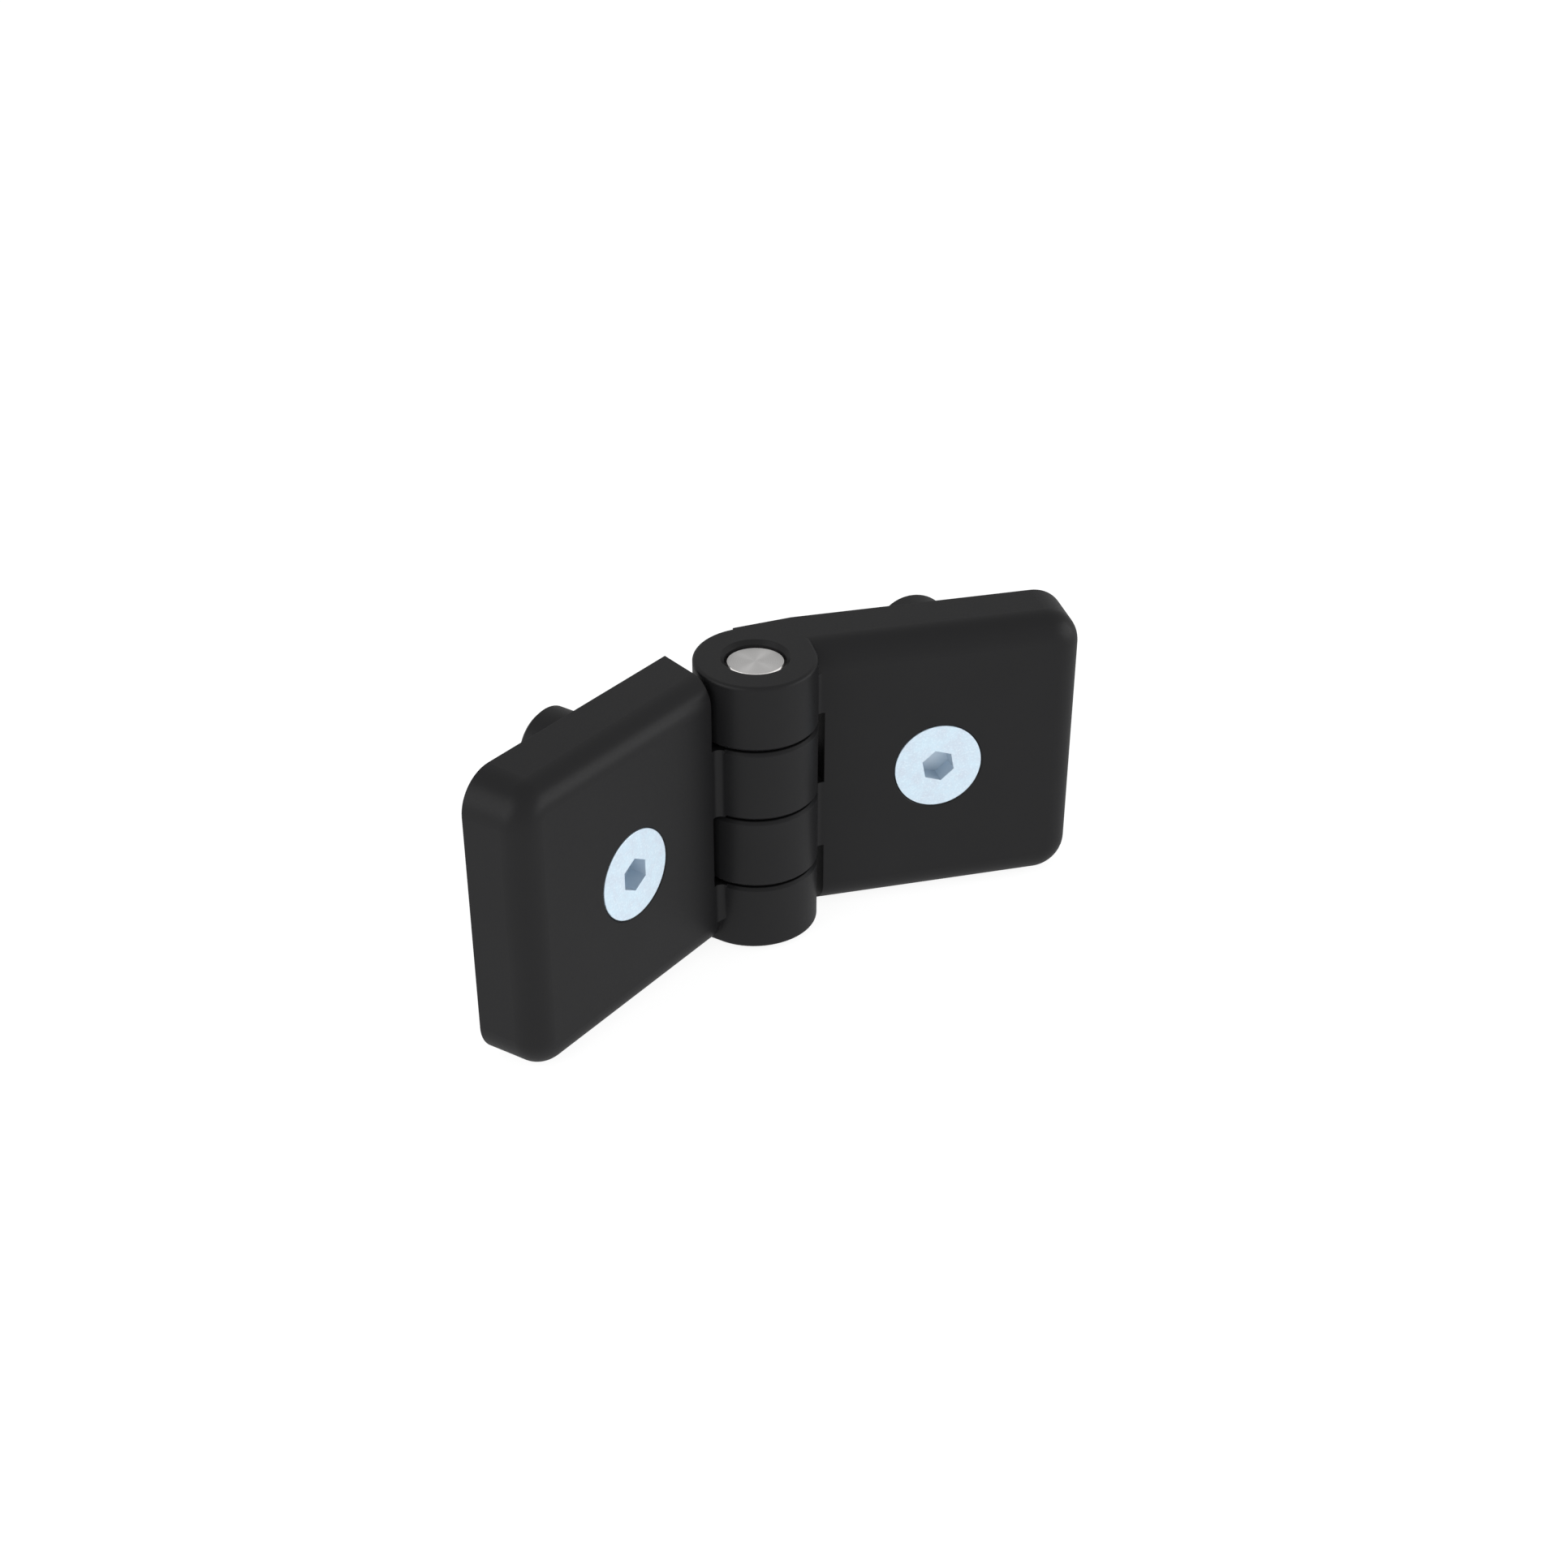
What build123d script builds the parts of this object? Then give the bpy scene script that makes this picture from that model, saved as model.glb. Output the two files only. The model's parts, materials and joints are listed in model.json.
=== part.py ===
# Moulded plastic leaf hinge for slotted profiles, standing with its pin upright and partly folded.
# Millimetres. The origin is on the fixed leaf's screw axis, in its mounting face's plane, at mid height.
# +X runs along the fixed leaf to its outer edge, +Y points out of its mounting face, +Z runs along the pin.
import os
from math import acos, atan2, cos, hypot, pi, radians, sin, sqrt, tan

from build123d import *

# Leaves
leaf_height = 40.0          # along the pin, at the mounting face
leaf_reach = 45.0           # pin axis to outer edge, at the mounting face
leaf_thickness = 8.9        # mounting face to front face
leaf_inner_edge = 7.0       # pin axis to inner edge, at the mounting face
corner_radius = 5.0         # outer corners, seen from the front
edge_radius = 3.5           # rounding of the front edges
draft_angle = 2.5           # degrees, mould draft of top, bottom and outer edge
closed_gap = 0.2            # between the two front faces when the hinge is shut
fold_angle = 40.0           # degrees from flat, as it stands

# Knuckles
knuckle_count = 4
barrel_diameter = 16.0
knuckle_gap = 0.3           # between neighbouring knuckles, along the pin
rim_radius = 0.5            # rounding of the barrel's two end rims
knuckle_chamfer = 0.4       # at the knuckles' inner ends
web_radius = 1.0            # hollow rounding between barrel and front face
swing_clearance = 0.25      # a leaf's inner edge to the other leaf's web, when shut

# Pin
pin_diameter = 8.0
pin_recess = 0.6            # pin ends below the barrel's ends, on the pin axis
pin_chamfer = 0.4
pin_clearance = 0.05        # radial, in the knuckles that turn on the pin
mouth_chamfer = 0.5         # at the bore's two mouths

# Countersunk screws with a hexagon socket
screw_reach = 25.0          # pin axis to screw axis
screw_diameter = 6.0
screw_length = 20.0         # with the head
screw_hole_diameter = 6.6
screw_point_chamfer = 0.8
head_diameter = 12.0
head_land = 0.2             # straight rim of the head
head_recess = 0.05          # head below the front face
socket_width = 4.0          # across flats
socket_depth = 2.5
fixed_socket_turn = 41.0    # degrees
swinging_socket_turn = 30.0

# Locating lugs on the mounting faces
lug_diameter = 10.0
lug_height = 5.0
lug_spacing = 28.0          # centre to centre, along the pin
lug_chamfer = 0.6

# Worked-out sizes. A leaf is made with the pin axis at its origin, +X to its outer edge and +Y to its back.
barrel_radius = barrel_diameter / 2
pin_radius = pin_diameter / 2
half_height = leaf_height / 2
knuckle_length = (leaf_height - (knuckle_count - 1) * knuckle_gap) / knuckle_count
draft_slope = tan(radians(draft_angle))
front_y = closed_gap / 2
back_y = front_y + leaf_thickness
web_end = sqrt((barrel_radius + web_radius) ** 2 - (web_radius - front_y) ** 2)
front_inner_edge = web_end + swing_clearance
head_radius = head_diameter / 2
screw_radius = screw_diameter / 2
countersink_radius = head_radius + head_land + head_recess


def facing_front(x, y):
    """Plane at mid height of a leaf, with its normal towards the leaf's front."""
    return Plane(origin=(x, y, 0), x_dir=(1, 0, 0), z_dir=(0, -1, 0))


def knuckle_spans(lowest):
    """Low and high end of every second knuckle from the given one up."""
    lows = [-half_height + index * (knuckle_length + knuckle_gap) for index in range(lowest, knuckle_count, 2)]
    return [(low, low + knuckle_length) for low in lows]


def plate():
    """Leaf plate with drafted sides, rounded outer corners and rounded front edges."""
    outline = Rectangle(leaf_reach - leaf_inner_edge, leaf_height)
    outline = fillet(outline.vertices().group_by(Axis.X)[-1], corner_radius)
    middle = (leaf_inner_edge + leaf_reach) / 2
    solid = facing_front(middle, back_y) * extrude(outline, leaf_thickness, taper=draft_angle)
    front_edges = solid.faces().sort_by(Axis.Y)[0].edges().sort_by(Axis.X)[1:]
    return fillet(front_edges, edge_radius)


def between_drafts(plan, low, high):
    """Upright solid on a plan near the pin, held within the planes of the leaf's drafted top and bottom."""
    front_half = half_height - draft_slope * (back_y + barrel_radius)
    side_view = make_face(Polyline(
        (back_y, -half_height),
        (back_y, half_height),
        (-barrel_radius, front_half),
        (-barrel_radius, -front_half),
        close=True,
    ))
    upright = Pos(0, 0, low) * extrude(plan, high - low)
    return upright & extrude(Plane.YZ * side_view, barrel_diameter, both=True)


def relief(low, high):
    """Room for one knuckle of the other leaf, bounded by the slanted inner edge of the plate."""
    slant = (front_inner_edge - leaf_inner_edge) / leaf_thickness
    beyond = barrel_radius
    plan = make_face(Polyline(
        (leaf_inner_edge - slant * beyond, back_y + beyond),
        (front_inner_edge + slant * beyond, front_y - beyond),
        (-beyond, front_y - beyond),
        (-beyond, back_y + beyond),
        close=True,
    ))
    bottom = low - knuckle_gap
    top = high + knuckle_gap
    return Pos(0, 0, bottom) * extrude(plan, top - bottom)


def knuckle(low, high):
    """One knuckle: round at the front, straight against the plate, and tangent to the leaf's back corner."""
    corner = (leaf_inner_edge, back_y)
    tangent_angle = atan2(back_y, leaf_inner_edge) + acos(barrel_radius / hypot(leaf_inner_edge, back_y))
    middle_angle = (tangent_angle + 2 * pi) / 2
    axis = (0, 0)
    tangent = (barrel_radius * cos(tangent_angle), barrel_radius * sin(tangent_angle))
    middle = (barrel_radius * cos(middle_angle), barrel_radius * sin(middle_angle))
    side_front = (barrel_radius, 0)
    side_back = (barrel_radius, front_y + edge_radius + rim_radius)
    round_plan = make_face([
        Line(side_front, side_back),
        Polyline(side_back, axis, tangent),
        ThreePointArc(tangent, middle, side_front),
    ])
    back_plan = make_face(Polyline(axis, side_back, corner, tangent, close=True))
    solid = between_drafts(round_plan, low, high)
    for end in (low, high):
        rim = solid.edges().filter_by(Axis.Z, reverse=True).sort_by_distance((*side_front, end))[:2]
        if abs(end) > half_height - knuckle_gap:
            solid = fillet(rim, rim_radius)
        else:
            solid = chamfer(rim, knuckle_chamfer)
    return solid + between_drafts(back_plan, low, high)


def web(low, high):
    """Hollow rounding between a knuckle and the flat of the front face, sloped off where the flat ends."""
    flat_end = half_height - draft_slope * leaf_thickness - edge_radius
    web_front = front_y - web_radius
    web_back = front_y + web_radius
    barrel_share = barrel_radius / (barrel_radius + web_radius)
    on_barrel = (web_end * barrel_share, web_front * barrel_share)
    on_face = (web_end, front_y)
    inside = on_barrel[0] - web_radius
    plan = make_face([
        RadiusArc(on_barrel, on_face, web_radius),
        Polyline(on_face, (web_end, web_back), (inside, web_back), (inside, on_barrel[1]), on_barrel),
    ])
    bottom = max(low, -flat_end)
    top = min(high, flat_end)
    bottom_slope = web_radius if bottom > low else 0
    top_slope = web_radius if top < high else 0
    side_view = make_face(Polyline(
        (web_back, bottom),
        (front_y, bottom),
        (web_front, bottom + bottom_slope),
        (web_front, top - top_slope),
        (front_y, top),
        (web_back, top),
        close=True,
    ))
    upright = Pos(0, 0, bottom) * extrude(plan, top - bottom)
    return upright & extrude(Plane.YZ * side_view, barrel_diameter)


def screw_hole():
    """Clearance hole with a countersink that the screw head's cone seats on."""
    front = facing_front(screw_reach, front_y)
    shank = front * Pos(0, 0, -leaf_thickness / 2) * Cylinder(screw_hole_diameter / 2, leaf_thickness)
    sink = front * Pos(0, 0, -countersink_radius / 2) * Cone(0, countersink_radius, countersink_radius)
    return shank + sink


def lug(z):
    """Round locating lug on the mounting face, chamfered at its free end."""
    seat = Plane(origin=(screw_reach, back_y, z), x_dir=(1, 0, 0), z_dir=(0, 1, 0))
    solid = seat * extrude(Circle(lug_diameter / 2), lug_height)
    return chamfer(solid.edges().group_by(Axis.Y)[-1], lug_chamfer)


def leaf(lowest_knuckle, bore_radius):
    """One leaf: plate, knuckles, pin bore, screw hole and lugs."""
    solid = plate()
    for low, high in knuckle_spans(1 - lowest_knuckle):
        solid -= relief(low, high)
    for low, high in knuckle_spans(lowest_knuckle):
        solid += knuckle(low, high)
        solid += web(low, high)
    solid -= Cylinder(bore_radius, leaf_height)
    end = half_height if lowest_knuckle else -half_height
    mouth = solid.edges().filter_by(GeomType.ELLIPSE).sort_by_distance((0, 0, end))[:1]
    solid = chamfer(mouth, mouth_chamfer)
    solid -= screw_hole()
    for z in (-lug_spacing / 2, lug_spacing / 2):
        solid += lug(z)
    return solid


def hinge_pin():
    """Plain round pin, chamfered at both ends."""
    barrel_length = leaf_height - 2 * draft_slope * back_y
    solid = Cylinder(pin_radius, barrel_length - 2 * pin_recess)
    return chamfer(solid.edges().filter_by(GeomType.CIRCLE), pin_chamfer)


def screw(x, socket_turn):
    """Countersunk screw in a leaf, its head just below the front face."""
    cone_end = -head_land - (head_radius - screw_radius)
    profile = make_face(Polyline(
        (0, 0),
        (head_radius, 0),
        (head_radius, -head_land),
        (screw_radius, cone_end),
        (screw_radius, screw_point_chamfer - screw_length),
        (screw_radius - screw_point_chamfer, -screw_length),
        (0, -screw_length),
        close=True,
    ))
    solid = revolve(Plane.XZ * profile, Axis.Z)
    hexagon = RegularPolygon(socket_width / 2, 6, major_radius=False, rotation=socket_turn)
    solid -= extrude(hexagon, -socket_depth)
    return facing_front(x, front_y + head_recess) * solid


on_pin_axis = Pos(-screw_reach, -back_y, 0)
folded = on_pin_axis * Rot(0, 0, fold_angle)
nodes = {
    "fixed_leaf": on_pin_axis * leaf(1, pin_radius),
    "swinging_leaf": folded * mirror(leaf(0, pin_radius + pin_clearance), about=Plane.YZ),
    "hinge_pin": on_pin_axis * hinge_pin(),
    "fixed_leaf_screw": on_pin_axis * screw(screw_reach, fixed_socket_turn),
    "swinging_leaf_screw": folded * screw(-screw_reach, swinging_socket_turn),
}

os.makedirs("parts", exist_ok=True)
for name, solid in nodes.items():
    export_step(solid, f"parts/{name}.step")
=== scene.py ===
import json
from math import cos, pi, radians, sin

import bmesh
import bpy
from mathutils import Matrix, Vector


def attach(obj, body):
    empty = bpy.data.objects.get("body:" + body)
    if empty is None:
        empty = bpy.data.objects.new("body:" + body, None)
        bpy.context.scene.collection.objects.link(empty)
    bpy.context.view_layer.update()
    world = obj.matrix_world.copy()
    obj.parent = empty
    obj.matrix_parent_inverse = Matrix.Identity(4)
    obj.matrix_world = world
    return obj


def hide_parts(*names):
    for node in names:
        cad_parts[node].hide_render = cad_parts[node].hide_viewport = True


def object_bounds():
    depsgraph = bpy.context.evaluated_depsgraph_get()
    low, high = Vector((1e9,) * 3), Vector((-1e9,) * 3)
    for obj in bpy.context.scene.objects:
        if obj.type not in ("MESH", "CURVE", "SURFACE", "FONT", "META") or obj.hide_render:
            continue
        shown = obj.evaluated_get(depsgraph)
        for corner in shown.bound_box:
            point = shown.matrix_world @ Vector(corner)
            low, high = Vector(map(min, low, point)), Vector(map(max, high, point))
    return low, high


bl_info = {
    "name": "Plastic hinge looks",
    "version": (1, 0, 0),
    "blender": (4, 5, 0),
    "location": "View3D > Sidebar > Hinge",
    "description": "Finishes the leaves and pin, makes the screws and sets up the stage of a plastic hinge",
    "category": "Object",
}

MM = 0.001
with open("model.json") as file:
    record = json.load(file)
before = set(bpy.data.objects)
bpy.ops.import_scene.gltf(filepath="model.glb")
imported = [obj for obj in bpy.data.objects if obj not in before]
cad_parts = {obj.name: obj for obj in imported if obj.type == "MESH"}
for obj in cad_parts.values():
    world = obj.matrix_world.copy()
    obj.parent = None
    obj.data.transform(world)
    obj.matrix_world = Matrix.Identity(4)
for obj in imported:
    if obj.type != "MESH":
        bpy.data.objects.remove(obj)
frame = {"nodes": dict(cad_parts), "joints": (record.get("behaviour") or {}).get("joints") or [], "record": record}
cad_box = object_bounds()
mounts = {mount["name"]: mount for mount in frame["record"]["mounts"]}
pin_axis = Vector(frame["joints"][0]["pos_m"])


def linear(hex_colour):
    """sRGB hex colour as three linear values."""
    shares = [int(hex_colour[start:start + 2], 16) / 255 for start in (1, 3, 5)]
    return [share / 12.92 if share <= 0.04045 else ((share + 0.055) / 1.055) ** 2.4 for share in shares]


def per_metre(size):
    """Scale that gives a noise texture's lumps this size."""
    return 1 / size


def add_node(tree, kind, inputs=None, **settings):
    """Adds a node with its settings, and fills its inputs with values or with links from other sockets."""
    node = tree.nodes.new(kind)
    for name, value in settings.items():
        setattr(node, name, value)
    for key, value in (inputs or {}).items():
        if isinstance(value, bpy.types.NodeSocket):
            tree.links.new(value, node.inputs[key])
        else:
            node.inputs[key].default_value = value
    return node


def new_material(name):
    """Material with an empty node tree."""
    material = bpy.data.materials.new(name)
    material.use_nodes = True
    material.node_tree.nodes.clear()
    return material


def colour_property(name, description, hex_colour):
    """Colour setting, given as an sRGB hex value."""
    return bpy.props.FloatVectorProperty(
        name=name, description=description, subtype="COLOR", size=3, min=0, max=1, default=linear(hex_colour))


def length_property(name, description, millimetres):
    """Length setting, given in millimetres and kept in metres."""
    return bpy.props.FloatProperty(
        name=name, description=description, unit="LENGTH", subtype="DISTANCE", default=millimetres * MM, precision=5)


def angle_property(name, description, degrees):
    """Angle setting, given in degrees and kept in radians."""
    return bpy.props.FloatProperty(
        name=name, description=description, subtype="ANGLE", unit="ROTATION", default=radians(degrees))


def level_property(name, description, default, **kind):
    """Setting from zero up, such as a share, a brightness or a power."""
    return bpy.props.FloatProperty(name=name, description=description, min=0, default=default, **kind)


class HingeLeafLooks(bpy.types.PropertyGroup):
    """Finish of the two moulded leaves."""
    colour: colour_property("Colour", "Colour of the plastic", "#19191a")
    cloud_colour: colour_property("Clouding", "Colour where the fibres lie close to the surface", "#1c1c1d")
    sheen: level_property(
        "Sheen", "Share of the surface that shines like bare plastic", 0.276, subtype="FACTOR", soft_max=1)
    edge: length_property("Edge softness", "Rounding that the small edges seem to have", 0.14)
    grain: length_property("Grain", "Size of the grains that the mould's texture leaves", 0.28)
    cloud: length_property("Cloud size", "Size of the faint clouds left by the melt's flow", 7.0)


class HingeMetalLooks(bpy.types.PropertyGroup):
    """Finish of the pin and the screws."""
    pin_colour: colour_property("Pin ends", "Colour of the faced ends", "#b3b2b1")
    # Much lighter than the ends though it is the same steel: a painted highlight that makes the chamfers' crescent
    # bright
    pin_side_highlight_colour: colour_property("Pin side", "Colour of the ground side and chamfers", "#efecea")
    zinc_colour: colour_property("Zinc", "Colour of the plating", "#c9ddea")
    zinc_patch_colour: colour_property("Zinc patches", "Colour of the plating's dull patches", "#c6d3e0")
    zinc_speck_colour: colour_property("Zinc specks", "Colour of the plating's bright crystals", "#e4f1f9")
    # Darker than the plating outside: painted shade for the sockets' recess
    socket_shade_colour: colour_property("Socket", "Colour of the plating down in the sockets", "#c2d0dc")
    faced: length_property("Faced", "Radius of the faced ends, inside the chamfers", 3.6)
    tool_pitch: length_property("Tool marks", "Spacing of the rings on the pin's turned ends", 0.3)
    patch: length_property("Patch size", "Size of the plating's patches", 1.6)


class HingeScrewSizes(bpy.types.PropertyGroup):
    """Sizes of a countersunk screw with a hexagon socket."""
    length: length_property("Length", "Length with the head", 20.0)
    diameter: length_property("Diameter", "Outside diameter of the thread", 6.0)
    pitch: length_property("Pitch", "Rise of the thread in one turn", 1.0)
    head: length_property("Head", "Diameter of the head", 12.0)
    land: length_property("Land", "Height of the head's straight rim", 0.2)
    socket: length_property("Socket", "Width of the hexagon across its flats", 4.0)
    socket_depth: length_property("Socket depth", "Depth of the hexagon", 2.5)
    point: length_property("Point chamfer", "Chamfer of the screw's point", 0.8)
    edge: length_property("Edge", "Rounding of the head's rim and of the socket's mouth", 0.08)
    fixed_turn: angle_property("Fixed leaf's socket", "Turn of the hexagon in the fixed leaf", 41.0)
    swinging_turn: angle_property("Swinging leaf's socket", "Turn of the hexagon in the swinging leaf", 30.0)


class HingeStageSettings(bpy.types.PropertyGroup):
    """Camera, light and floor."""
    azimuth: angle_property("Azimuth", "Camera's turn round the hinge from its front", -14.57)
    elevation: angle_property("Elevation", "Camera's height over the horizon", 30.52)
    distance: length_property("Distance", "Camera to the pin's middle, along the view", 286.7)
    aim_right: length_property("Aim right", "View centre to the right of the pin's middle", 3.61)
    aim_up: length_property("Aim up", "View centre above the pin's middle", 0.83)
    lens: level_property(
        "Lens", "Focal length on a 36 mm sensor", 50.36, subtype="DISTANCE_CAMERA", unit="CAMERA")
    sky: level_property("Surround light", "Brightness of the white surroundings", 0.5)
    table: level_property("Table light", "Brightness of the light table that the hinge stands on", 1.77)
    key: level_property("Key lamp", "Power of the large soft lamp at the left", 1.3, subtype="POWER", unit="POWER")
    fill: level_property("Fill lamp", "Power of the large soft lamp at the right", 1.7, subtype="POWER", unit="POWER")
    lamp_size: length_property("Lamp size", "Diameter of the two soft lamps", 600.0)
    floor_colour: colour_property("Floor", "Colour of the floor", "#f4f4f4")


class HingeLooks(bpy.types.PropertyGroup):
    """All that a user may change."""
    leaf: bpy.props.PointerProperty(name="Leaves", description="Finish of the leaves", type=HingeLeafLooks)
    metal: bpy.props.PointerProperty(name="Metal", description="Finish of pin and screws", type=HingeMetalLooks)
    screw: bpy.props.PointerProperty(name="Screws", description="Sizes of the screws", type=HingeScrewSizes)
    stage: bpy.props.PointerProperty(name="Stage", description="Camera and light", type=HingeStageSettings)


def moulded_polyamide(looks):
    """Black glass-filled polyamide from a spark-eroded mould: matt, with a fine even grain and faint clouds.

    Grain and fibres break up the surface, so its shine is a coat that covers only a share of it.
    """
    grain_depth = 0.02 * MM
    material = new_material("black glass-filled polyamide, moulded")
    tree = material.node_tree
    place = add_node(tree, "ShaderNodeTexCoord").outputs["Object"]
    cloud = add_node(tree, "ShaderNodeTexNoise", {
        "Vector": place, "Scale": per_metre(looks.cloud), "Detail": 3.0, "Roughness": 0.55})
    grain = add_node(tree, "ShaderNodeTexNoise", {
        "Vector": place, "Scale": per_metre(looks.grain), "Detail": 2.0, "Roughness": 0.6})
    tint = add_node(tree, "ShaderNodeMix", {
        "Factor": cloud.outputs["Fac"], "A": (*looks.colour, 1), "B": (*looks.cloud_colour, 1)}, data_type="RGBA")
    matt = add_node(tree, "ShaderNodeMapRange", {
        "Value": grain.outputs["Fac"], "From Min": 0.3, "From Max": 0.7, "To Min": 0.32, "To Max": 0.42})
    soft_edge = add_node(tree, "ShaderNodeBevel", {"Radius": looks.edge}, samples=6)
    relief = add_node(tree, "ShaderNodeBump", {
        "Height": grain.outputs["Fac"], "Strength": 0.25, "Distance": grain_depth,
        "Normal": soft_edge.outputs["Normal"]})
    shader = add_node(tree, "ShaderNodeBsdfPrincipled", {
        "Base Color": tint.outputs["Result"], "Roughness": 0.6, "Specular IOR Level": 0.0,
        "Normal": relief.outputs["Normal"], "Coat Weight": looks.sheen, "Coat IOR": 1.53,
        "Coat Roughness": matt.outputs["Result"], "Coat Normal": relief.outputs["Normal"]})
    add_node(tree, "ShaderNodeOutputMaterial", {"Surface": shader.outputs["BSDF"]})
    return material


def turned_steel(looks):
    """Bright steel with faced ends and a ground side: the tool's rings stretch the ends' highlights into wedges."""
    wave_spacing = 0.1 * pi     # between a wave texture's rings at a scale of 1
    mask_blur = 0.02 * MM
    ground_roughness = 0.12
    ring_stretch = 0.88
    material = new_material("bright steel, turned")
    tree = material.node_tree
    place = add_node(tree, "ShaderNodeTexCoord").outputs["Object"]
    centred = add_node(tree, "ShaderNodeMapping", {"Vector": place, "Location": -pin_axis})
    # The real rings are about a tenth of a millimetre apart, and are drawn coarser to show.
    rings = add_node(tree, "ShaderNodeTexWave", {
        "Vector": centred.outputs["Vector"], "Scale": wave_spacing * per_metre(looks.tool_pitch),
        "Distortion": 0.6, "Detail": 2.0, "Detail Scale": 1.5},
        wave_type="RINGS", rings_direction="Z")
    faced = add_node(tree, "ShaderNodeMapRange", {
        "Value": rings.outputs["Fac"], "To Min": 0.44, "To Max": 0.52})
    across = add_node(tree, "ShaderNodeVectorMath", {
        0: centred.outputs["Vector"], 1: (1, 1, 0)}, operation="MULTIPLY")
    radius = add_node(tree, "ShaderNodeVectorMath", {0: across.outputs["Vector"]}, operation="LENGTH")
    ground = add_node(tree, "ShaderNodeMapRange", {
        "Value": radius.outputs["Value"], "From Min": looks.faced - mask_blur, "From Max": looks.faced + mask_blur})
    # The ground side and chamfers take the lighter colour, which is a painted highlight; their lower roughness below
    # is real
    tint = add_node(tree, "ShaderNodeMix", {
        "Factor": ground.outputs["Result"], "A": (*looks.pin_colour, 1), "B": (*looks.pin_side_highlight_colour, 1)},
        data_type="RGBA")
    sheen = add_node(tree, "ShaderNodeMix", {
        "Factor": ground.outputs["Result"], "A": faced.outputs["Result"], "B": ground_roughness})
    stretch = add_node(tree, "ShaderNodeMapRange", {
        "Value": ground.outputs["Result"], "To Min": ring_stretch, "To Max": 0.0})
    around = add_node(tree, "ShaderNodeTangent", direction_type="RADIAL", axis="Z")
    shader = add_node(tree, "ShaderNodeBsdfPrincipled", {
        "Base Color": tint.outputs["Result"], "Metallic": 1.0, "Roughness": sheen.outputs["Result"],
        "Anisotropic": stretch.outputs["Result"], "Anisotropic Rotation": 0.25,
        "Tangent": around.outputs["Tangent"]})
    add_node(tree, "ShaderNodeOutputMaterial", {"Surface": shader.outputs["BSDF"]})
    return material


def plated_zinc(looks, name, colour, patch_colour, speck_colour, smoothest, dullest):
    """Zinc plating with a clear blue passivation: pale, slightly blue, with soft dull patches and fine specks.

    The passivated layer scatters about half of the light, so only the other half is mirrored as by bare metal.
    """
    specks_per_patch = 6
    speck_depth = 0.02 * MM
    material = new_material(name)
    tree = material.node_tree
    place = add_node(tree, "ShaderNodeTexCoord").outputs["Object"]
    patches = add_node(tree, "ShaderNodeTexNoise", {
        "Vector": place, "Scale": per_metre(looks.patch), "Detail": 5.0, "Roughness": 0.65})
    specks = add_node(tree, "ShaderNodeTexNoise", {
        "Vector": place, "Scale": per_metre(looks.patch) * specks_per_patch, "Detail": 2.0, "Roughness": 0.5})
    share = add_node(tree, "ShaderNodeMapRange", {
        "Value": patches.outputs["Fac"], "From Min": 0.36, "From Max": 0.66})
    tint = add_node(tree, "ShaderNodeMix", {
        "Factor": share.outputs["Result"], "A": (*colour, 1), "B": (*patch_colour, 1)}, data_type="RGBA")
    bright = add_node(tree, "ShaderNodeMapRange", {
        "Value": specks.outputs["Fac"], "From Min": 0.5, "From Max": 0.75, "To Max": 0.5})
    speckled = add_node(tree, "ShaderNodeMix", {
        "Factor": bright.outputs["Result"], "A": tint.outputs["Result"], "B": (*speck_colour, 1)}, data_type="RGBA")
    dull = add_node(tree, "ShaderNodeMapRange", {
        "Value": patches.outputs["Fac"], "From Min": 0.3, "From Max": 0.7, "To Min": smoothest, "To Max": dullest})
    relief = add_node(tree, "ShaderNodeBump", {
        "Height": specks.outputs["Fac"], "Strength": 0.4, "Distance": speck_depth})
    shader = add_node(tree, "ShaderNodeBsdfPrincipled", {
        "Base Color": speckled.outputs["Result"], "Metallic": 0.5, "Roughness": dull.outputs["Result"],
        "Normal": relief.outputs["Normal"]})
    add_node(tree, "ShaderNodeOutputMaterial", {"Surface": shader.outputs["BSDF"]})
    return material


def give_material(node_name, material):
    """Puts a material on a CAD node in place of its plain one."""
    mesh = frame["nodes"][node_name].data
    mesh.materials.clear()
    mesh.materials.append(material)


def radius_of(vert):
    """Distance of a vertex from the screw's axis."""
    return vert.co.xy.length


def set_radius(vert, radius):
    """Moves a vertex straight out or in to a distance from the screw's axis."""
    vert.co.xy *= radius / radius_of(vert)


def extend_loop(bm, edges, drop, radius):
    """Extrudes a round loop of edges down by a drop and out or in to a radius, and returns the new loop's edges."""
    made = bmesh.ops.extrude_edge_only(bm, edges=edges)["geom"]
    verts = [item for item in made if isinstance(item, bmesh.types.BMVert)]
    bmesh.ops.translate(bm, verts=verts, vec=(0, 0, -drop))
    share = radius / radius_of(verts[0])
    bmesh.ops.scale(bm, verts=verts, vec=(share, share, 1))
    rim = set(verts)
    return [item for item in made if isinstance(item, bmesh.types.BMEdge) and set(item.verts) <= rim]


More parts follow.
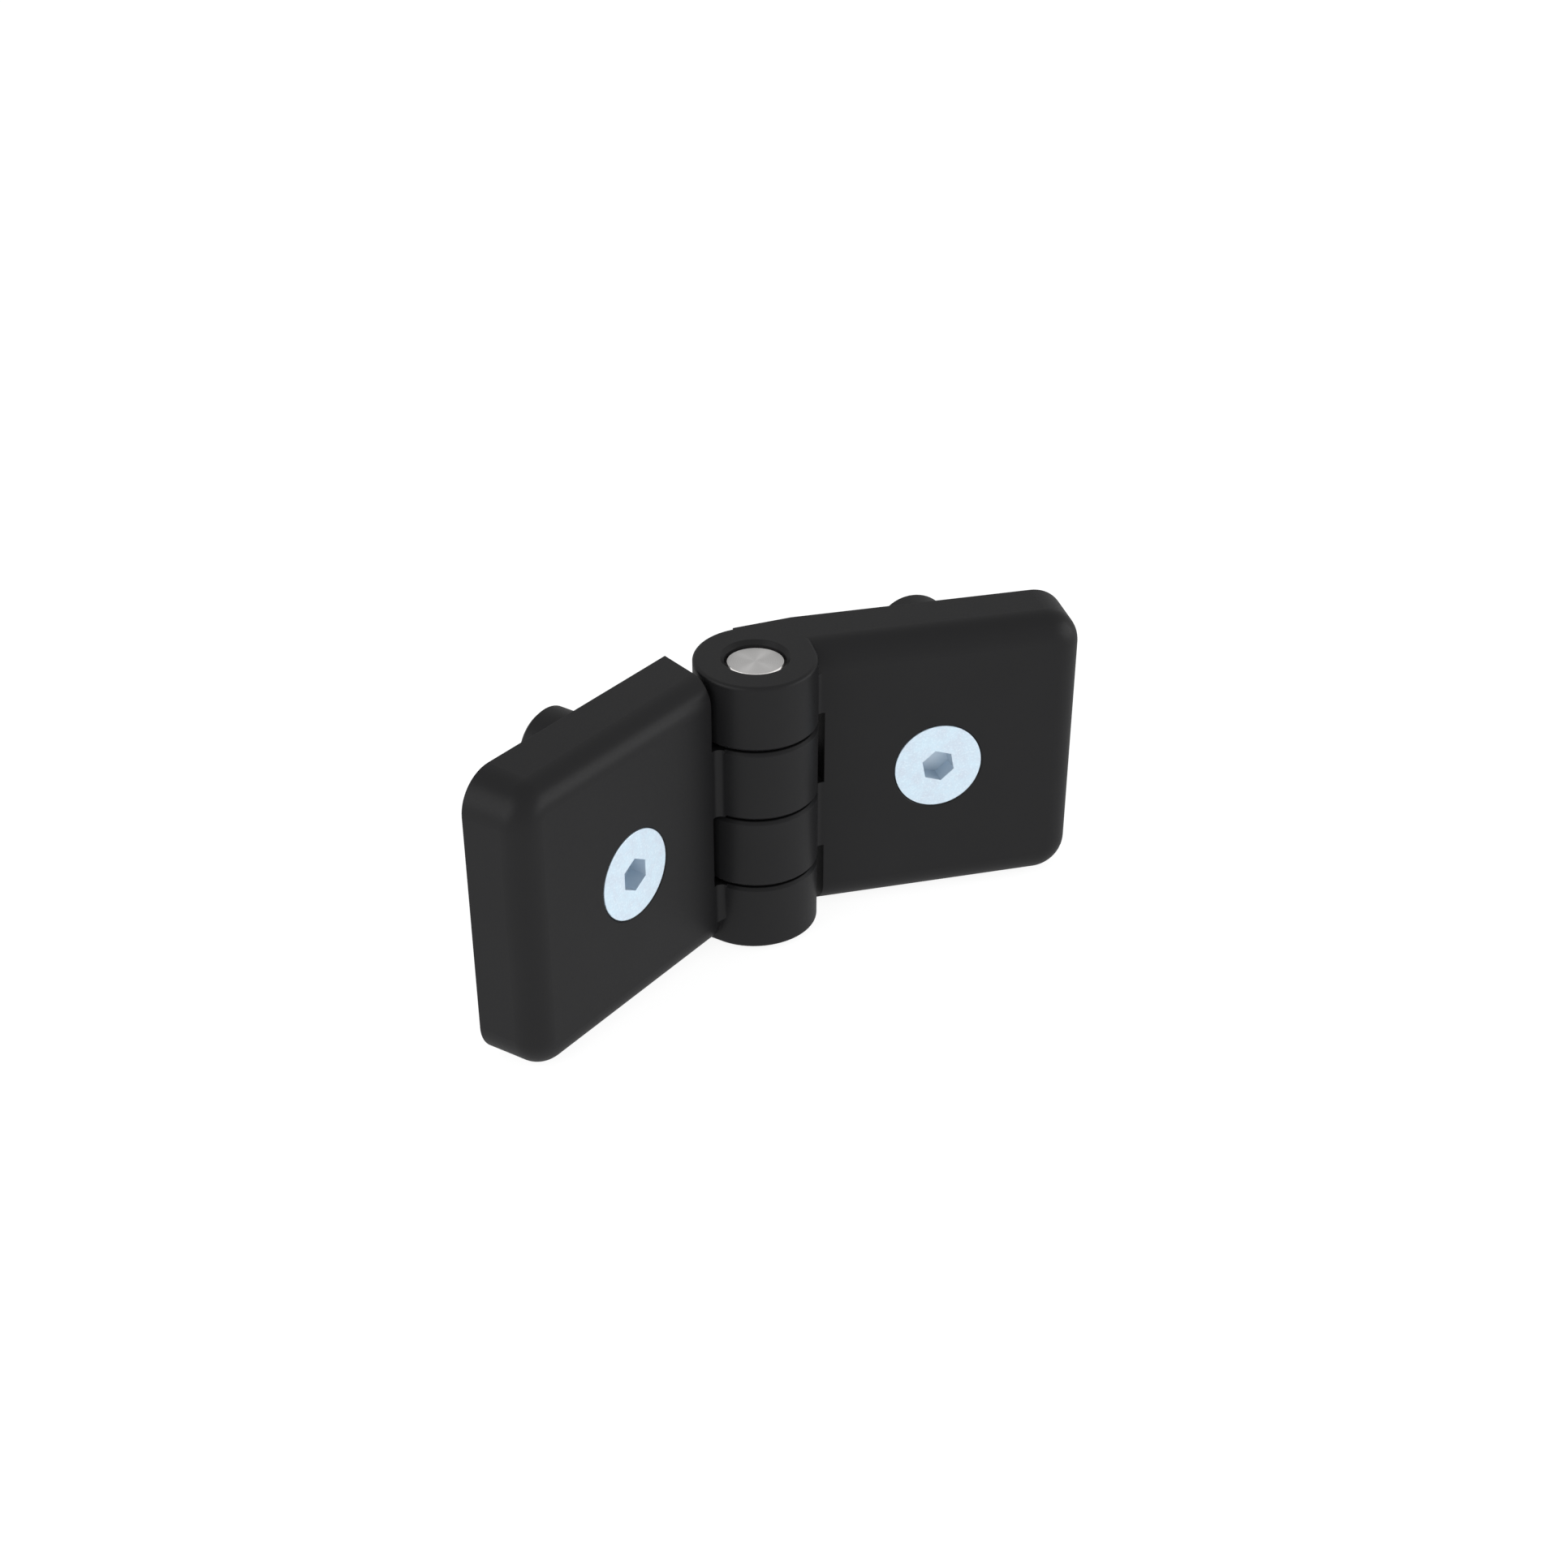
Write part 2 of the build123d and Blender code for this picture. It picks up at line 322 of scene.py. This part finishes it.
def thread(bm, sizes, top, bottom, steps):
    """Winds a right-hand thread between two heights, with a run-out at its top and a chamfer at its point.

    It returns the edges of its open top and of its open point.
    """
    pitch = sizes.pitch
    crest = sizes.diameter / 2
    # The metric thread's standard depth, and half the widths of its flat crest and root
    root = crest - 0.6134 * pitch
    crest_half = pitch / 16
    root_half = pitch / 8
    start = bottom - pitch
    corners = [(crest, -crest_half), (crest, crest_half), (root, pitch / 2 - root_half),
               (root, pitch / 2 + root_half), (crest, pitch - crest_half)]
    profile = [bmesh.ops.create_vert(bm, co=(radius, 0, start + rise))["vert"][0] for radius, rise in corners]
    edges = [bm.edges.new(pair) for pair in zip(profile, profile[1:])]
    bmesh.ops.subdivide_edges(bm, edges=[edges[1], edges[3]], cuts=2)
    turns = int((top - start) / pitch) + 2
    bmesh.ops.spin(
        bm, geom=bm.verts[:] + bm.edges[:], cent=(0, 0, 0), axis=(0, 0, 1), dvec=(0, 0, pitch / steps),
        angle=2 * pi * turns, steps=steps * turns, use_merge=False)
    bmesh.ops.remove_doubles(bm, verts=bm.verts[:], dist=pitch * 1e-4)
    for vert in bm.verts:
        radius = radius_of(vert)
        run_out = min(max((vert.co.z - (top - pitch)) / pitch, 0), 1)
        radius += (crest - radius) * run_out
        chamfer = crest - sizes.point + (vert.co.z - bottom)
        set_radius(vert, min(radius, max(chamfer, crest - sizes.point)))
    for height, side in ((top, 1), (bottom, -1)):
        bmesh.ops.bisect_plane(
            bm, geom=bm.verts[:] + bm.edges[:] + bm.faces[:], dist=pitch * 1e-5,
            plane_co=(0, 0, height), plane_no=(0, 0, side), clear_outer=True)
    ends = [edge for edge in bm.edges if edge.is_boundary]
    middle = (top + bottom) / 2
    top_edges = [edge for edge in ends if edge.verts[0].co.z > middle]
    point_edges = [edge for edge in ends if edge.verts[0].co.z < middle]
    return top_edges, point_edges


def screw_mesh(sizes, materials):
    """Countersunk screw with its head's face at height zero, its point downwards and a socket corner along +Y."""
    steps = 48                  # round one turn of the thread
    rim_steps = 2 * steps       # round the head
    sides = 6                   # of the socket
    sharp = radians(28)         # least angle of an edge that shows as one
    level = 0.999               # upright part of a level face's normal
    bm = bmesh.new()
    head_radius = sizes.head / 2
    shank_radius = sizes.diameter / 2
    cone_drop = head_radius - shank_radius
    neck = 0.4 * sizes.pitch
    thread_start = -sizes.land - cone_drop - neck
    thread_top, thread_point = thread(bm, sizes, thread_start, -sizes.length, steps)
    bmesh.ops.edgeloop_fill(bm, edges=thread_point)
    rim = bmesh.ops.create_circle(bm, radius=head_radius, segments=rim_steps)["verts"]
    rim_edges = [edge for edge in bm.edges if set(edge.verts) <= set(rim)]
    corners = bmesh.ops.create_circle(bm, radius=sizes.socket / 2 / cos(pi / sides), segments=sides)["verts"]
    mouth = [edge for edge in bm.edges if set(edge.verts) <= set(corners)]
    split = bmesh.ops.subdivide_edges(bm, edges=mouth, cuts=rim_steps // sides - 1)["geom_split"]
    mouth = [item for item in split if isinstance(item, bmesh.types.BMEdge)]
    bmesh.ops.bridge_loops(bm, edges=rim_edges + mouth)
    made = bmesh.ops.extrude_edge_only(bm, edges=mouth)["geom"]
    floor_verts = {item for item in made if isinstance(item, bmesh.types.BMVert)}
    bmesh.ops.translate(bm, verts=list(floor_verts), vec=(0, 0, -sizes.socket_depth))
    floor_edges = [edge for edge in bm.edges if set(edge.verts) <= floor_verts]
    socket = {face for edge in floor_edges for face in edge.link_faces}
    socket |= set(bmesh.ops.edgeloop_fill(bm, edges=floor_edges)["faces"])
    for face in socket:
        face.material_index = 1
    land = extend_loop(bm, rim_edges, sizes.land, head_radius)
    cone = extend_loop(bm, land, cone_drop, shank_radius)
    bmesh.ops.bridge_loops(bm, edges=cone + thread_top)
    bmesh.ops.recalc_face_normals(bm, faces=bm.faces[:])
    bmesh.ops.bevel(
        bm, geom=rim_edges + mouth, offset=sizes.edge, offset_type="OFFSET", affect="EDGES", segments=2, profile=0.5,
        material=-1, clamp_overlap=True)
    for face in bm.faces:
        face.smooth = face.material_index == 0 and face.normal.z < level
    for edge in bm.edges:
        edge.smooth = edge.calc_face_angle(0) < sharp
    mesh = bpy.data.meshes.new("threaded_screw")
    bm.to_mesh(mesh)
    bm.free()
    for material in materials:
        mesh.materials.append(material)
    return mesh


class HINGE_OT_mould_leaves(bpy.types.Operator):
    """Give both leaves their moulded plastic"""
    bl_idname = "hinge.mould_leaves"
    bl_label = "Mould leaves"

    def execute(self, context):
        plastic = moulded_polyamide(context.scene.hinge_looks.leaf)
        for leaf in ("fixed_leaf", "swinging_leaf"):
            give_material(leaf, plastic)
        return {"FINISHED"}


class HINGE_OT_turn_pin(bpy.types.Operator):
    """Give the hinge pin its turned steel"""
    bl_idname = "hinge.turn_pin"
    bl_label = "Turn pin"

    def execute(self, context):
        give_material("hinge_pin", turned_steel(context.scene.hinge_looks.metal))
        return {"FINISHED"}


class HINGE_OT_fit_screws(bpy.types.Operator):
    """Make the two threaded screws and fit them in the leaves"""
    bl_idname = "hinge.fit_screws"
    bl_label = "Fit screws"

    def execute(self, context):
        looks = context.scene.hinge_looks
        sizes = looks.screw
        metal = looks.metal
        plating = plated_zinc(
            metal, "zinc-plated steel, passivated", metal.zinc_colour, metal.zinc_patch_colour,
            metal.zinc_speck_colour, smoothest=0.3, dullest=0.42)
        # The sockets' plating is rougher, and its darker colour is painted shade for the recess
        punched_and_shaded = plated_zinc(
            metal, "zinc-plated steel, punched socket", metal.socket_shade_colour, metal.socket_shade_colour,
            metal.socket_shade_colour, smoothest=0.42, dullest=0.5)
        pattern = screw_mesh(sizes, (plating, punched_and_shaded))
        up = Vector((0, 0, 1))
        for body, turn in (("fixed", sizes.fixed_turn), ("swinging", sizes.swinging_turn)):
            mount = mounts[f"{body}_screw"]
            out = -Vector(mount["axis"])
            head_face = Vector(mount["pos_m"]) + out * (sizes.length - mount["dims"]["length_mm"] * MM)
            facing = Matrix((up.cross(out), up, out)).transposed().to_4x4()
            socket = Matrix.Rotation(turn - pi / 2, 4, "Z")
            mesh = pattern.copy()
            mesh.transform(Matrix.Translation(head_face) @ facing @ socket)
            screw = bpy.data.objects.new(f"{body}_leaf_threaded_screw", mesh)
            context.scene.collection.objects.link(screw)
            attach(screw, body)
            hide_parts(f"{body}_leaf_screw")
        bpy.data.meshes.remove(pattern)
        return {"FINISHED"}


def seen_or_reflected(tree):
    """Factor that is 1 for what the camera sees, directly or in metal or glass."""
    path = add_node(tree, "ShaderNodeLightPath")
    seen = add_node(tree, "ShaderNodeMath", {
        0: path.outputs["Is Camera Ray"], 1: path.outputs["Is Glossy Ray"]}, operation="MAXIMUM")
    return add_node(tree, "ShaderNodeMath", {
        0: seen.outputs["Value"], 1: path.outputs["Is Transmission Ray"]}, operation="MAXIMUM").outputs["Value"]


def light_table(colour, glow):
    """Opal glass lit from below: it lights the hinge evenly.

    Where it is seen or mirrored it is white but for the hinge's faint shadow.
    """
    shadow_share = 0.3
    white_level = 0.9
    material = new_material("opal glass, lit from below")
    tree = material.node_tree
    lit = add_node(tree, "ShaderNodeEmission", {"Color": (*colour, 1), "Strength": glow})
    faint = add_node(tree, "ShaderNodeBsdfDiffuse", {"Color": (*(shadow_share * share for share in colour), 1)})
    white = add_node(tree, "ShaderNodeEmission", {"Strength": white_level})
    lifted = add_node(tree, "ShaderNodeAddShader", {0: faint.outputs["BSDF"], 1: white.outputs["Emission"]})
    shader = add_node(tree, "ShaderNodeMixShader", {
        0: seen_or_reflected(tree), 1: lit.outputs["Emission"], 2: lifted.outputs["Shader"]})
    add_node(tree, "ShaderNodeOutputMaterial", {"Surface": shader.outputs["Shader"]})
    return material


def lay_floor(scene, stage):
    """Lays a wide round light table under the hinge."""
    radius = 3.0
    mesh = bpy.data.meshes.new("floor")
    bm = bmesh.new()
    bmesh.ops.create_circle(
        bm, cap_ends=True, radius=radius, segments=64, matrix=Matrix.Translation((0, 0, cad_box[0].z)))
    bm.to_mesh(mesh)
    bm.free()
    mesh.materials.append(light_table(stage.floor_colour, stage.table))
    floor = bpy.data.objects.new("floor", mesh)
    scene.collection.objects.link(floor)


def light_surroundings(scene, stage):
    """Sets soft white surroundings that are plain white where they are seen."""
    world = bpy.data.worlds.new("white studio")
    scene.world = world
    world.use_nodes = True
    tree = world.node_tree
    tree.nodes.clear()
    strength = add_node(tree, "ShaderNodeMapRange", {
        "Value": seen_or_reflected(tree), "To Min": stage.sky, "To Max": 1.0})
    white = add_node(tree, "ShaderNodeBackground", {
        "Color": (1, 1, 1, 1), "Strength": strength.outputs["Result"]})
    add_node(tree, "ShaderNodeOutputWorld", {"Surface": white.outputs["Background"]})


def hang_lamps(scene, stage):
    """Hangs the two large soft lamps and turns them to the hinge."""
    key_place = Vector((-0.5, -0.2, 0.28))
    fill_place = Vector((0.55, -0.15, 0.06))
    for name, power, place in (("key lamp", stage.key, key_place), ("fill lamp", stage.fill, fill_place)):
        lamp_data = bpy.data.lights.new(name, "AREA")
        lamp_data.energy = power
        lamp_data.shape = "DISK"
        lamp_data.size = stage.lamp_size
        lamp = bpy.data.objects.new(name, lamp_data)
        lamp.location = pin_axis + place
        lamp.rotation_euler = place.to_track_quat("Z", "Y").to_euler()
        scene.collection.objects.link(lamp)


def aim_camera(scene, stage):
    """Stands the camera before the hinge and aims it beside the pin's middle."""
    turn, tilt = stage.azimuth, stage.elevation
    back = Vector((sin(turn) * cos(tilt), -cos(turn) * cos(tilt), sin(tilt)))
    right = Vector((cos(turn), sin(turn), 0))
    up = back.cross(right)
    camera_data = bpy.data.cameras.new("camera")
    camera_data.lens = stage.lens
    camera_data.clip_start = 10 * MM
    camera = bpy.data.objects.new("camera", camera_data)
    camera.location = pin_axis + stage.aim_right * right + stage.aim_up * up + stage.distance * back
    camera.rotation_euler = Matrix((right, up, back)).transposed().to_euler()
    scene.collection.objects.link(camera)
    scene.camera = camera


class HINGE_OT_set_stage(bpy.types.Operator):
    """Set up the floor, the light and the camera"""
    bl_idname = "hinge.set_stage"
    bl_label = "Set stage"

    def execute(self, context):
        scene = context.scene
        stage = scene.hinge_looks.stage
        lay_floor(scene, stage)
        light_surroundings(scene, stage)
        hang_lamps(scene, stage)
        aim_camera(scene, stage)
        scene.view_settings.view_transform = "Standard"
        return {"FINISHED"}


class HINGE_PT_looks(bpy.types.Panel):
    """Lists the steps and what they read"""
    bl_idname = "HINGE_PT_looks"
    bl_label = "Hinge"
    bl_space_type = "VIEW_3D"
    bl_region_type = "UI"
    bl_category = "Hinge"

    def draw(self, context):
        looks = context.scene.hinge_looks
        steps = (
            (HINGE_OT_mould_leaves, looks.leaf), (HINGE_OT_turn_pin, looks.metal),
            (HINGE_OT_fit_screws, looks.screw), (HINGE_OT_set_stage, looks.stage))
        for step, settings in steps:
            box = self.layout.box()
            box.operator(step.bl_idname)
            for name in settings.__annotations__:
                box.prop(settings, name)


CLASSES = (
    HingeLeafLooks, HingeMetalLooks, HingeScrewSizes, HingeStageSettings, HingeLooks,
    HINGE_OT_mould_leaves, HINGE_OT_turn_pin, HINGE_OT_fit_screws, HINGE_OT_set_stage, HINGE_PT_looks)


def register():
    for kind in CLASSES:
        bpy.utils.register_class(kind)
    bpy.types.Scene.hinge_looks = bpy.props.PointerProperty(
        name="Hinge looks", description="Sizes and colours of the hinge", type=HingeLooks)


def unregister():
    del bpy.types.Scene.hinge_looks
    for kind in reversed(CLASSES):
        bpy.utils.unregister_class(kind)


def main():
    register()
    bpy.ops.hinge.mould_leaves()
    bpy.ops.hinge.turn_pin()
    bpy.ops.hinge.fit_screws()
    bpy.ops.hinge.set_stage()


if __name__ == "__main__":
    main()
